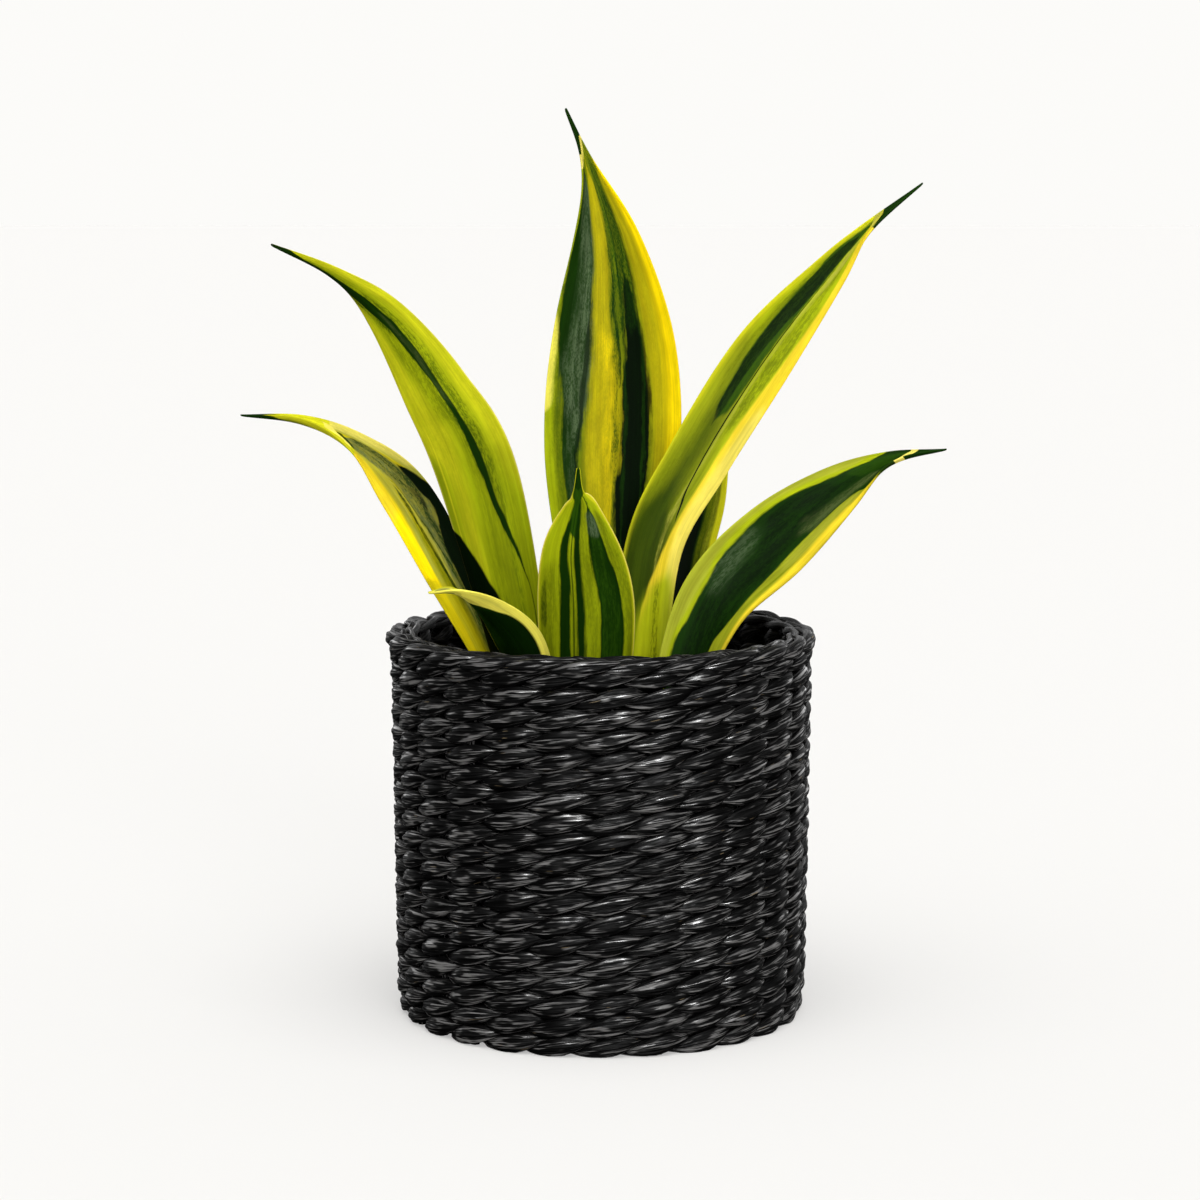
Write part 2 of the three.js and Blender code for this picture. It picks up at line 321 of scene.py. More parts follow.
leaves["leaf_lower_left"] = {
    "points": [(-41.6, 12.6, 112.1, 7.5, -60, 0, 75), (-44.4, 13.8, 137.5, 9.1, -60, 0, 65),
               (-65.9, 24.6, 182, 11.6, -70, 0, 40), (-84.4, 34.6, 213.6, 11.4, -75, 5, 35),
               (-104.8, 42.3, 232.2, 7.2, -80, 55, 60), (-128, 48, 242, 5, -90, 85, 80),
               (-155, 54, 245, .5, -90, 85, 80)],
    "ground": "gold",
    "stripes": [
        ("olive", 10, 8, (0, 30, 42, 48), (-46, -46, -48, -40), (0, 0, -20, -30), 80, 40),
        ("sage", 8, 8, (40, 50, 60, 66), (-50, -50, -55, -60), (-30, -20, -20, -30), 75, 40),
        ("sage", 4, 6, (26, 36, 46, 54), (0, -4, -14, -20), (20, 24, 10, -10), 90, 50),
        ("sheen", 6, 10, (20, 30, 38, 46, 52, 58, 64, 68, 73), (10, 12, 10, 0, -6, -16, -34, -36, 20),
         (50, 60, 80, 70, 60, 54, 50, 40, 20), 95, 25),
        ("forest", 5, 16, (24, 34, 42, 50, 58, 66, 70), (30, 30, 22, 10, 0, -4, 5),
         (50, 50, 44, 26, 14, 4, 5), 80, 70),
        ("forest", 5, 16, (42, 50, 58, 66, 72), (55, 36, 26, 20, 30), (55, 56, 50, 42, 30), 80, 60),
        ("forest", 3, 10, (0, 24, 30, 36, 42, 50, 56), (-10, -8, -6, -13, -16, -18, -20),
         (30, 22, 10, -2, -8, -12, -20), 95, 30),
        ("forest", 2, 8, (28, 36, 44, 52, 60), (22, 14, 2, -10, -24), (34, 20, 6, -7, -24), 85, 40),
        ("ink", 3, 6, (0, 28, 34, 40, 44, 48, 53, 58), (50, 36, 36, 50, 66, 56, 54, 60),
         (130, 130, 130, 130, 130, 104, 78, 60)),
        ("ink", 3, 8, (42, 46, 50, 54), (40, 34, 26, 20), (40, 50, 34, 20), 80, 40),
        ("sage", 5, 3, (46, 50, 56, 62, 68, 74, 80, 90), (100, 90, 66, 54, 42, 34, 60, 100),
         (100, 130, 130, 130, 130, 130, 130, 130)),
        ("butter", 12, 6, (48, 55, 68, 76, 84), (100, 80, 56, 50, 80), (100, 130, 130, 130, 130), 90, 30),
        ("yellow", 8, 5, (0, 40, 50, 60, 66), -130, (-50, -50, -52, -56, -70)),
        ("honey", 20, 3, (40, 50, 60, 68), (-100, -130, -130, -130), (-100, -50, -50, -60), 80),
        ("gold", 30, 5, (0, 24, 32, 38), -130, (0, 0, -60, -130), 80),
        ("forest", 2, 2, (64.5, 67, 69, 71, 73, 74), (-40, -40, -20, 0, 16, 34), (-40, -20, 2, 20, 32, 34),
         90),
        ("citrus", 5, 1, (60, 66, 68.5, 71, 73.5, 76, 80, 90, 100), -130,
         (-130, -44, -26, 0, 24, 60, 130, 130, 130)),
        ("butter", 2.5, 1, (66, 67.5, 70, 73, 77, 80), (-50, -50, -24, 0, 30, 80), (-50, -32, -8, 20, 70, 80),
         80),
        ("grass", 12, 8, (74, 79, 84, 90), (-10, -45, -60, -60), (-10, 30, 50, 60), 85, 30),
        ("forest", 10, 4, (84, 88, 93, 100), (10, -40, -100, -130), (10, 50, 100, 130)),
    ],
}
leaves["leaf_small_left"] = {
    "points": [(-27, -26, 112, 9, 60, 0, 75), (-30, -31, 137, 12, 60, 10, 60),
               (-34, -41, 158, 12, 75, 25, 50), (-45, -50, 173, 9, 80, 60, 50),
               (-57, -58, 182, 5, 20, 88, 45), (-68, -64, 183, .5, -90, 80, 40)],
    "ground": "forest",
    "stripes": [
        ("ink", 15, 10, (0, 45, 60, 70), (-80, -80, -40, 0), (50, 50, 40, 0), 60),
        ("grass", 20, 12, (30, 50, 60, 72), (50, 40, 40, 30), (90, 80, 80, 90), 70, 40),
        ("cream", 4, 2, (0, 40, 50, 60, 66, 70, 74, 100), -130, (-72, -70, -68, -44, -20, 30, 130, 130)),
        ("citrus", 4, 2, (0, 50, 70, 100), (90, 90, 84, 60), 130),
        ("sage", 10, 10, (74, 80, 86, 92), (-20, -60, -100, -130), (-20, 80, 130, 130), 50, 20),
        ("sheen", 10, 10, (78, 84, 90, 95, 97), (10, -50, -60, -40, 0), (10, 60, 70, 40, 0), 85, 20),
    ],
}
leaves["leaf_small_front"] = {
    "points": [(-5, -27, 112, 14, 90, 0, 60), (-6, -30, 137, 20, 90, 0, 50), (-6, -36, 172, 21.5, 90, 0, 40),
               (-8, -41, 197, 17, 90, 0, 40), (-8, -45, 215, 7.5, 90, 0, 45), (-9, -47, 221, 2.4, 90, 0, 60),
               (-9, -50, 231, .5, 90, 0, 60)],
    "ground": "lime",
    "stripes": [
        ("olive", 12, 8, (0, 40, 60, 70), (-110, -100, -85, -60), (-60, -60, -50, -60), 95, 40),
        ("olive", 10, 6, (0, 50, 70), (-30, -24, -20), (30, 25, 30), 80, 40),
        ("olive", 20, 10, (0, 40, 55), (50, 50, 60), (100, 95, 60), 80, 50),
        ("forest", 2, 5, (0, 30, 40, 50, 56, 62, 68), (-72, -70, -66, -58, -55, -50, -34),
         (-24, -25, -24, -20, -20, -22, -30)),
        ("grass", 5, 14, (0, 30, 48, 56), (-62, -60, -50, -45), (-30, -30, -26, -30), 80, 80),
        ("frost", 10, 12, (52, 57, 62, 68), (-40, -54, -48, -30), (-40, -22, -22, -30), 90, 70),
        ("grass", 5, 6, (50, 60, 70, 76, 82, 90, 100), (10, 2, -5, -15, -60, -75, -60),
         (10, 42, 42, 50, 75, 75, 60)),
        ("forest", 3, 5, (0, 40, 55, 66, 74), (2, 2, 3, 2, 10), (15, 16, 16, 12, 10)),
        ("forest", 3, 6, (0, 30, 40, 50, 57, 66), (30, 28, 27, 30, 30, 36), (50, 50, 49, 50, 46, 36)),
        ("forest", 1, 2, (0, 50, 62, 70), (21, 21, 22, 23), (24, 24, 24, 23), 80),
        ("forest", 5, 8, (26, 32, 40, 45), (84, 78, 80, 82), (84, 90, 86, 82), 80, 30),
        ("citrus", 4, 1, (0, 50, 66, 74, 82, 100), -130, (-93, -93, -82, -60, -75, -60)),
        ("citrus", 5, 1, (0, 50, 66, 76, 84, 100), (93, 92, 80, 62, 75, 60), 130),
        ("butter", 3, 1, (0, 60, 78, 84), -130, (-97, -95, -84, -110), 90),
        ("butter", 3, 1, (0, 60, 78, 84), (97, 95, 84, 110), 130, 90),
        ("forest", 10, 5, (84, 88, 94, 100), (0, -55, -60, -50), (0, 55, 60, 50), 90),
    ],
}
leaves["leaf_upper_right"] = {
    "points": [(16, 2, 112, 10.5, -100, 0, 75), (17, 2, 137, 12.5, -100, 0, 60),
               (22.1, 8, 193, 12.9, -95, 0, 38), (40.9, 18, 229.1, 14.1, -95, 0, 32),
               (69, 32, 272, 14.1, -95, 5, 30), (96.9, 46, 305.1, 8.5, -95, 20, 42),
               (114, 54, 324, 3.8, -95, 60, 70), (138, 62, 344, .5, -95, 80, 70)],
    "ground": "lime",
    "stripes": [
        ("moss", 30, 4, (20, 40, 55, 70), (-130, -130, -130, -100), (60, 50, -20, -100), 65),
        ("olive", 30, 10, (20, 32, 40, 46, 52), (-130, -120, -90, -70, -50), (60, 50, 40, 20, -10), 80, 30),
        ("forest", 30, 6, (0, 16, 24, 32, 44), (-130, -130, -120, -90, -40), (130, 120, 70, 30, -10), 85),
        ("olive", 6, 10, (46, 52, 62, 72, 82, 87), (-60, -66, -68, -76, -70, -40),
         (-60, -56, -54, -50, -40, -40), 80, 60),
        ("grass", 5, 8, (46, 50, 55, 62, 70, 76, 81, 86, 89), (-20, -36, -44, -52, -60, -72, -60, -36, -20),
         (-20, 4, 7, 8, 7, 8, 16, 2, -20), 97, 5),
        ("ink", 3, 7, (45, 50, 55, 60, 66, 72, 80, 85), (-22, -35, -42, -46, -52, -58, -50, -20),
         (-22, -13, -13, -10, 0, 2, 5, -20), 85, 25),
        ("olive", 10, 14, (40, 50, 62, 68, 76, 82), (20, 16, 18, 20, 20, 30), (20, 46, 66, 60, 40, 30),
         95, 60),
        ("sage", 6, 12, (60, 70, 78, 82, 85), (14, 12, 12, 16, 30), (20, 30, 40, 40, 30), 85, 50),
        ("ink", 1.2, 1.5, (30, 34, 40, 46, 56, 70, 80), (42, 32, 13, 8, 9, 8, 10),
         (42, 36, 17, 12, 12, 10, 10)),
        ("honey", 5, 2, (0, 18, 24, 28, 33, 46, 52, 58, 66, 74, 80, 84, 87, 89, 90), (-50, -30, 0, 30, 43, 46,
         56, 66, 72, 64, 46, 30, -10, -90, -130), 130),
        ("butter", 12, 4, (26, 32, 42, 50, 56), (60, 56, 60, 75, 90), (120, 120, 120, 100, 90), 70),
        ("lime", 30, 6, (0, 14, 19, 24, 33), (-90, -75, -50, 10, 70), (140, 130, 120, 100, 70), 90),
        ("forest", 6, 20, (8, 14, 19, 24, 28), (50, 10, 20, 30, 40), (50, 70, 50, 40, 40), 60, 90),
        ("citrus", 12, 2, (0, 40, 60, 80, 88, 93), -130, (-96, -92, -84, -74, -60, -100), 90),
        ("sage", 6, 0, (85, 86.5, 88.5, 90.5, 92), (50, 10, -70, -130, -130), (50, 70, 10, -50, -130), 90),
        ("forest", 8, 0, (84.5, 86.5, 88.5, 90.5, 92.5, 100), (130, 70, 10, -50, -130, -130), 130),
    ],
}
leaves["leaf_lower_right"] = {
    "points": [(32, -16, 112, 11, -120, 0, 75), (35, -16, 137, 14, -120, 0, 60),
               (48, -8, 172, 16.5, -110, 10, 35), (73, 1, 196, 17.5, -105, 15, 30),
               (99, 9, 216, 12, -100, 30, 35), (121, 15, 228, 5.5, -95, 65, 70),
               (145, 20, 233, .5, -95, 85, 80)],
    "ground": "forest",
    "stripes": [
        ("ink", 12, 14, (0, 32, 42, 55, 62, 70), (-50, -30, -10, -60, -60, -20), (60, 60, 50, 30, 10, 0),
         75, 60),
        ("frost", 24, 20, (30, 36, 42, 47, 53), (-30, -50, -60, -60, -50), (-30, -20, -24, -40, -50), 65, 80),
        ("sheen", 12, 15, (50, 58, 68, 76, 82), (30, 10, 14, 20, 50), (30, 40, 46, 60, 50), 60, 60),
        ("grass", 12, 10, (66, 74, 82, 88, 93), (-50, -60, -80, -70, -100), (-50, 0, 20, -10, -100), 60, 40),
        ("lime", 4, 6, (0, 24, 30, 34, 40, 46, 54, 60, 66, 72, 77, 82, 88), -130, (-70, -68, -50, -50, -64,
         -70, -75, -72, -60, -57, -60, -84, -110)),
        ("sage", 6, 3, (0, 24, 33, 40, 50, 62, 72, 82), -130, (-80, -78, -58, -76, -86, -82, -68, -100), 50),
        ("moss", 3, 4, (0, 25, 30, 35, 40, 46, 52, 60, 66, 70, 75),
         (30, 43, 60, 66, 62, 53, 46, 45, 48, 58, 90), (90, 90, 90, 90, 90, 90, 80, 80, 80, 90, 100)),
        ("sage", 6, 6, (42, 50, 60, 68, 74), (70, 52, 50, 54, 90), (70, 74, 74, 80, 90), 30, 30),
        ("olive", 2, 4, (28, 36, 46, 55, 60), (76, 74, 72, 74, 76), (76, 78, 77, 78, 76), 80, 30),
        ("honey", 6, 2, (0, 40, 50, 60, 70, 76, 80), (90, 84, 76, 72, 80, 98, 110), 130),
        ("forest", 10, 2, (76, 79, 83, 88), (100, 80, 50, 0), 130, 95),
        ("butter", 6, 0, (81, 84, 87, 90, 92, 94), (130, 40, -20, -80, -130, -130),
         (130, 130, 110, 40, -20, -130)),
        ("forest", 6, 0, (84, 87, 90, 92, 94, 100), (130, 50, -20, -80, -130, -130), 130),
    ],
}
leaves["leaf_rear_right"] = {
    "points": [(28, 32, 112, 10, -100, 0, 75), (29.7, 34.2, 137.2, 11.7, -100, 0, 60),
               (37.2, 49.1, 183.3, 11.5, -95, 0, 40), (43.5, 60.1, 208.3, 11.3, -95, 0, 38),
               (50.2, 71.1, 233.3, 7.2, -95, 10, 45), (62, 80, 252, .5, -95, 20, 60)],
    "ground": "forest",
    "stripes": [
        ("ink", 5, 8, (0, 40, 60, 80, 95), (-80, -50, -20, -10, -10), (20, 20, 24, 30, 10)),
        ("olive", 8, 10, (30, 40, 55, 70, 85), (20, 26, 30, 34, 40), (30, 46, 52, 50, 40), 75, 40),
        ("moss", 6, 6, (0, 40, 55, 80, 100), (44, 50, 52, 55, 60), 90, 90, 40),
        ("citrus", 6, 2, (0, 60, 90, 100), (76, 76, 70, 60), 130),
        ("citrus", 5, 2, (0, 80, 100), -130, (-84, -84, -100)),
    ],
}


def curveThrough(points, along):
    # the same curve as the frame's leaves: a uniform Catmull-Rom through the points
    knots = np.vstack([2 * points[0] - points[1], points, 2 * points[-1] - points[-2]])
    place = np.clip(along, 0, 1) * (len(points) - 1)
    index = np.minimum(place.astype(int), len(points) - 2)
    part = (place - index)[:, None]
    before, start, end, after = (knots[index + k] for k in range(4))
    leave = (end - before) / 2
    arrive = (after - start) / 2
    curve = start + leave * part
    curve += (3 * (end - start) - 2 * leave - arrive) * part ** 2
    return curve + (2 * (start - end) + leave + arrive) * part ** 3


def unit(vectors):
    return vectors / np.linalg.norm(vectors, axis=1)[:, None]


def bendBlade(obj, points):
    places = verticesOf(obj)
    across = places[:, 0]
    along = (places[:, 1] + 1) / 2
    spine, half = points[:, :3], points[:, 3]
    bearing, lift, cup = np.radians(points[:, 4:]).T
    tangent = unit(curveThrough(spine, along + 1e-3) - curveThrough(spine, along - 1e-3))
    looks = np.stack([np.cos(bearing) * np.cos(lift), np.sin(bearing) * np.cos(lift), np.sin(lift)], 1)
    face = curveThrough(looks, along)
    face = unit(face - (face * tangent).sum(1)[:, None] * tangent)
    broad = np.cross(tangent, face)
    half, cup = curveThrough(np.stack([half, cup], 1), along).T
    half = np.maximum(half, leafShape["leastHalfWidth"])
    reach = half * np.sin(cup * across) / cup
    rise = half * (1 - np.cos(cup * across)) / cup
    middle = curveThrough(spine, along)
    moveVertices(obj, (middle + broad * reach[:, None] + face * rise[:, None]) * mm)
    return across, along


def growLeaf(name, points, material):
    bpy.ops.mesh.primitive_grid_add(x_subdivisions=leafShape["acrossCuts"],
                                    y_subdivisions=leafShape["alongCuts"], size=2, calc_uvs=True)
    blade = bpy.context.object
    across, along = bendBlade(blade, points)
    full = leafShape["thickness"]
    middle = between(full, leafShape["tipThickness"], along)
    thickness = between(middle, leafShape["marginThickness"], across ** 2)
    thin = blade.vertex_groups.new(name="thickness")
    for vertex, share in enumerate(thickness / full):
        thin.add([vertex], float(share), "REPLACE")
    applyModifier(blade, "SOLIDIFY", thickness=full * mm, offset=0, vertex_group="thickness", use_rim=True)
    applyModifier(blade, "SUBSURF", levels=1, render_levels=1)
    blade.vertex_groups.clear()
    finishPiece(blade, name.replace("leaf_", "blade_"), material, [name])


def makeStripeGroup():
    group, given, result = newGroup("leafStripe", {
        "Color": "Under Stripe",
        "Float": "Across Left Right Ragged Fray Softness Strength Patches Mottle"}, {"Color": "Colour"})
    here = timesPlus(given["Ragged"], given["Fray"], given["Across"])
    soft = given["Softness"]
    inner = times(soft, -1.0)
    leftSide = remap(calc("SUBTRACT", here, given["Left"]), inner, soft)
    rightSide = remap(calc("SUBTRACT", given["Right"], here), inner, soft)
    full = timesPlus(calc("SUBTRACT", given["Patches"], 1.0), given["Mottle"], 1.0)
    full = times(full, given["Strength"])
    mask = times(times(leftSide, rightSide), full)
    feed(result["Colour"], mixColours(mask, given["Under"], given["Stripe"]))
    return group


def makeSkinGroup():
    # fibre lines, faint cross banding and the fine pebble of the leaf's skin
    group, given, result = newGroup("leafSkin", {
        "Color": "Colour", "Float": "Across Along Fibres Length Seed"
    }, {"Color": "Colour", "Float": "Roughness Height"})
    lengthwise = times(given["Along"], given["Length"])
    sideways = times(given["Across"], given["Fibres"])

    def skinNoise(across, along, detail, roughness=0.5):
        vector = joinXYZ(times(sideways, across), times(lengthwise, along), given["Seed"])
        return noise(vector, 1, detail, roughness)

    fibre = skinNoise(0.8, 0.35, 3)
    broadLines = skinNoise(0.16, 0.25, 2)
    clouds = skinNoise(0.1, 0.9, 4, 0.6)
    pebble = skinNoise(1.4, 22, 2)
    lines = calc("ADD", times(fibre, 0.45), times(broadLines, 0.55))
    banded = times(remap(lines, 0.32, 0.68, 0.8, 1.12), remap(clouds, 0.3, 0.7, 0.88, 1.08))
    tinted = mixColours(1.0, given["Colour"], joinXYZ(banded, banded, banded), "MULTIPLY")
    feed(result["Colour"], tinted)
    rough = remap(clouds, 0.3, 0.7, 0.46, 0.58)
    feed(result["Roughness"], calc("ADD", rough, times(pebble, 0.08)))
    height = calc("ADD", times(fibre, 0.6), times(pebble, 0.4))
    feed(result["Height"], calc("ADD", height, times(clouds, 0.5)))
    return group


def edgeCurve(along, places, edges):
    # a stripe's edge across the blade, as a curve of the place along it
    node = addNode(along.id_data, "FloatCurve", {"Value": along})
    curve = node.mapping.curves[0]
    node.mapping.use_clip = False
    curve.points[0].location = (-0.01, edges[0])
    curve.points[1].location = (1.01, edges[-1])
    for place, edge in zip(places, edges):
        curve.points.new(place / 100, edge)
    for point in curve.points:
        point.handle_type = "AUTO_CLAMPED"
    node.mapping.update()
    return node.outputs[0]


def leafMaterial(name, points, ground, stripes, groups, seed):
    material, tree = newMaterial(name, Specular_IOR_Level=0.012)
    surface = uvPlace(tree)
    across = timesPlus(surface[0], 2.0, -1.0)
    along = surface[1]
    wide = float(points[:, 3].max())
    long = float(np.linalg.norm(np.diff(points[:, :3], axis=0), axis=1).sum())

    def bladeNoise(kind):
        acrossCell, alongCell, shift, detail, roughness = leafLook[kind]
        place = joinXYZ(times(across, wide / acrossCell), times(along, long / alongCell), seed + shift)
        return noise(place, 1, detail, roughness)

    ragged = timesPlus(bladeNoise("streaks"), 0.6, bladeNoise("tears"))
    ragged = timesPlus(ragged, 2.2, -1.76)
    blotches = times(bladeNoise("blotches"), 0.55)
    patches = remap(timesPlus(bladeNoise("specks"), 0.45, blotches), 0.42, 0.58)
    shown = palette[ground]
    for tint, softness, fray, places, left, right, *rest in stripes:
        softness, fray, strength, mottle = np.divide([softness, fray] + rest + [100, 0][len(rest):], 100)
        low, high = (np.broadcast_to(edges, len(places)) / 100 for edges in (left, right))
        # where its edges meet a stripe is closed, so they are set past each other by its softness
        gap = softness * (low >= high)
        shown = useGroup(tree, groups["stripe"], {
            "Under": shown, "Stripe": palette[tint], "Across": across,
            "Left": edgeCurve(along, places, low + gap),
            "Right": edgeCurve(along, places, high - gap),
            "Ragged": ragged, "Fray": fray, "Softness": softness, "Strength": strength,
            "Patches": patches, "Mottle": mottle})["Colour"]
    skin = useGroup(tree, groups["skin"], {
        "Colour": shown, "Across": across, "Along": along, "Fibres": wide * leafLook["fibresPerWidth"],
        "Length": long / leafLook["fibreLength"], "Seed": seed})
    return dressShader(material, {"Base Color": skin["Colour"], "Roughness": skin["Roughness"]},
                       skin["Height"], leafLook["bump"])


print("leaves")
leafGroups = {"stripe": makeStripeGroup(), "skin": makeSkinGroup()}
for number, (leafName, leaf) in enumerate(leaves.items()):
    points = np.array(leaf["points"], float)
    growLeaf(leafName, points, leafMaterial(leafName + "_stripes", points, leaf["ground"], leaf["stripes"],
                                            leafGroups, number * leafLook["seedStep"]))


# Basket: rows of two weavers twined round upright stakes

basket = {
    "stakes": 26,
    "rows": 19,
    "wallHeight": 155.8,
    "lowest": 0.1,
    "stakeTurn": -0.32,  # of a stake spacing
    "footRadius": 80,
    "topRadius": 82,
    "footDrawIn": 1,  # of the lowest row
    "uvStep": (1.37, 0.61),  # for a millimetre up and for the second weaver
    "seed": 41,
}

# How a weaver waves past the stakes. outside is the share of the wave, in degrees to each side of the
# middle of a float, that shows on the outside.
wallWave = {
    "swing": 3.4,
    "swingFlatness": 1.1,
    "climb": 2.5,
    "climbEvenness": 0.93,
    "outside": 122,
    "bellyHeight": 3.95,
    "bellyPower": 1.15,
    "endHeight": 1.5,
    "outerThickness": 2.4,
    "innerThickness": 1.9,
    "stepsPerStake": 10,
    "sectionPoints": 26,
}
rimWave = dict(wallWave, swing=2.9, climb=2.0, bellyHeight=3.3, endHeight=1.3, outerThickness=2.5,
               innerThickness=2.0)
edgingWave = dict(wallWave, swing=1.3, climb=1.1, bellyHeight=1.7, endHeight=1.2, outerThickness=1.3,
                  innerThickness=1.2, outside=104, stepsPerStake=8, sectionPoints=14)
baseWave = dict(wallWave, swing=1.0, climb=2.4, bellyHeight=3.5, outerThickness=1.0, innerThickness=1.0,
                outside=108, stepsPerStake=8, sectionPoints=14)

# the bundles of straw that lie side by side in a weaver, with creases and finer ripples between them,
# and how far its size, swing, creases, height and climb wander from stake to stake
weaverForm = {
    "least": 0.84,
    "creases": 3,
    "creaseDepth": 0.25,
    "creaseTwist": 0.45,
    "ripples": 8,
    "rippleDepth": 0.02,
    "rippleTwist": -0.6,
    "rippleWander": 4,
    "wander": (0.07, 0.05, 1.5, 0.4, 0.12),
    "ringThickness": 2,
}


def waveAlong(turns, weaver, stakes, wave, chance):
    # for each place round a ring, in stake spacings: how far the weaver is out and up, its size and wander
    swingAngle = np.degrees(np.mod(math.pi * (turns + weaver) + math.pi, 2 * math.pi) - math.pi)
    outside = wave["outside"]
    phase = np.radians(np.interp(swingAngle, (-180, -outside, outside, 180), (-180, -90, 90, 180)))
    uneven = np.array([[chance.uniform(-1, 1) for _ in range(5)] for _ in range(stakes)])
    place = np.mod(turns, stakes)
    index = place.astype(int) % stakes
    part = place - place.astype(int)
    part = (part * part * (3 - 2 * part))[:, None]
    wander = between(uneven[index], uneven[(index + 1) % stakes], part)
    flatness = wave["swingFlatness"]
    out = wave["swing"] * np.tanh(flatness * np.cos(phase)) / math.tanh(flatness)
    evenness = wave["climbEvenness"]
    up = wave["climb"] * np.arcsin(evenness * np.sin(phase)) / math.asin(evenness)
    height = between(wave["endHeight"], wave["bellyHeight"], np.abs(np.cos(phase)) ** wave["bellyPower"])
    thickness = between(wave["innerThickness"], wave["outerThickness"], (1 + np.cos(phase)) / 2)
    return np.radians(swingAngle), out, up, height, thickness, wander


def layWeaver(ringRadius, stakes, weaver, wave, chance):
    # a ring, and how far out and up from it each vertex lies in a weaver
    bpy.ops.mesh.primitive_torus_add(major_segments=stakes * wave["stepsPerStake"],
                                     minor_segments=wave["sectionPoints"], major_radius=ringRadius * mm,
                                     minor_radius=weaverForm["ringThickness"] * mm)
    ring = bpy.context.object
    places = verticesOf(ring) / mm
    bearing = np.arctan2(places[:, 1], places[:, 0])
    section = np.arctan2(places[:, 2], np.hypot(places[:, 0], places[:, 1]) - ringRadius)
    turns = bearing / (2 * math.pi) * stakes - basket["stakeTurn"]
    along, out, up, height, thickness, wander = waveAlong(turns, weaver, stakes, wave, chance)
    size, swing, crease, lift, climb = (wander * weaverForm["wander"]).T
    creases = weaverForm["creases"] * section + weaverForm["creaseTwist"] * along + crease
    ripples = weaverForm["ripples"] * section + weaverForm["rippleTwist"] * along
    ripples += weaverForm["rippleWander"] * wander[:, 3]
    girth = weaverForm["least"] + weaverForm["creaseDepth"] * np.abs(np.sin(creases))
    girth = (girth + weaverForm["rippleDepth"] * np.sin(ripples)) * (1 + size)
    out = out * (1 + swing) + thickness * girth * np.cos(section)
    up = up * (1 + climb) + lift + height * girth * np.sin(section)
    return ring, bearing, out, up


def setRing(ring, bearing, radius, level, uvStep):
    # each ring starts at another place in the straw's pattern
    moveVertices(ring, np.stack([radius * np.cos(bearing), radius * np.sin(bearing), level], 1) * mm)
    layer = ring.data.uv_layers.active.data
    uv = np.empty(len(layer) * 2)
    layer.foreach_get("uv", uv)
    uv[0::2] += uvStep
    layer.foreach_set("uv", uv)
    return ring


def standWeaver(ringRadius, height, weaver, wave, chance):
    # a weaver that runs round the wall
    ring, bearing, out, up = layWeaver(ringRadius, basket["stakes"], weaver, wave, chance)
    uvStep = height * basket["uvStep"][0] + weaver * basket["uvStep"][1]
    return setRing(ring, bearing, ringRadius + out, np.maximum(height + up, basket["lowest"]), uvStep)


def joinPieces(parts):
    selectOnly(*parts)
    bpy.ops.object.join()
    return parts[0]


def twineWall(chance, material):
    rowHeight = basket["wallHeight"] / basket["rows"]
    for row in range(basket["rows"]):
        radius = between(basket["footRadius"], basket["topRadius"], row / basket["rows"])
        radius -= basket["footDrawIn"] if row == 0 else 0
        height = (row + 0.5) * rowHeight
        weavers = [standWeaver(radius, height, weaver, wallWave, chance) for weaver in (0, 1)]
        name = f"{row + 1:02d}"
        finishPiece(joinPieces(weavers), "twined_row_" + name, material, ["weave_row_" + name])


rim = {
    "radius": 83.9,
    "height": 156.3,
    "weavers": (0.5, 1.5),  # how far their floats lie past the wall's, in stake spacings
    "edgingRadius": 79.6,
    "edgingHeight": 157.6,
    "edgingWeavers": (0.2, 1.2),
}


def twineRim(chance, material):
    # two strands over the wall's top, and a finer pair along the inner edge
    strands = [standWeaver(rim["radius"], rim["height"], weaver, rimWave, chance)
               for weaver in rim["weavers"]]
    strands += [standWeaver(rim["edgingRadius"], rim["edgingHeight"], weaver, edgingWave, chance)
                for weaver in rim["edgingWeavers"]]
    finishPiece(joinPieces(strands), "rim_strands", material, ["rim_border"])


base = {
    "spokes": (4, 6, 8, 12, 14, 18, 20, 22, 26, 26),  # of each ring
    "innerRadius": 5.5,
    "outerRadius": 72.5,
    "middle": 2.1,
    "lowest": 0.05,
    "spread": 0.95,
    "leastRadius": 0.3,
    "uvStep": (2.1, 0.4),
}


def faceOutwards(obj):
    selectOnly(obj)
    bpy.ops.object.mode_set(mode="EDIT")
    bpy.ops.mesh.select_all(action="SELECT")
    bpy.ops.mesh.normals_make_consistent(inside=False)
    bpy.ops.object.mode_set(mode="OBJECT")


def twineBase(chance, material):
    # the underside, twined ring by ring from the middle
    rings = []
    for number, spokes in enumerate(base["spokes"]):
        radius = between(base["innerRadius"], base["outerRadius"], number / (len(base["spokes"]) - 1))
        for weaver in (0, 1):
            ring, bearing, out, up = layWeaver(radius, spokes, weaver, baseWave, chance)
            reach = np.maximum(radius + up * base["spread"], base["leastRadius"])
            level = np.maximum(base["middle"] - out, base["lowest"])
            uvStep = number * base["uvStep"][0] + weaver * base["uvStep"][1]
            rings.append(setRing(ring, bearing, reach, level, uvStep))
    whole = joinPieces(rings)
    faceOutwards(whole)
    finishPiece(whole, "twined_base", material, ["woven_base"])


strawLook = {
    # painted shade, for a weaver's edges against its neighbours
    "paintedEdgeShade": colour(0, 0, 0),
    "black": colour(1, 1, 1),
    "grey": colour(15, 15, 15),
    # the colour of a painted highlight on the glossy fibres
    "paintedGlint": colour(108, 107, 106),
    "undyed": colour(120, 106, 82),
    "leastGloss": 0.04,
    "bump": (1.0, 0.0009),
    "stakeBump": (0.6, 0.0006),
    "stakeScale": (300, 300, 50),
}


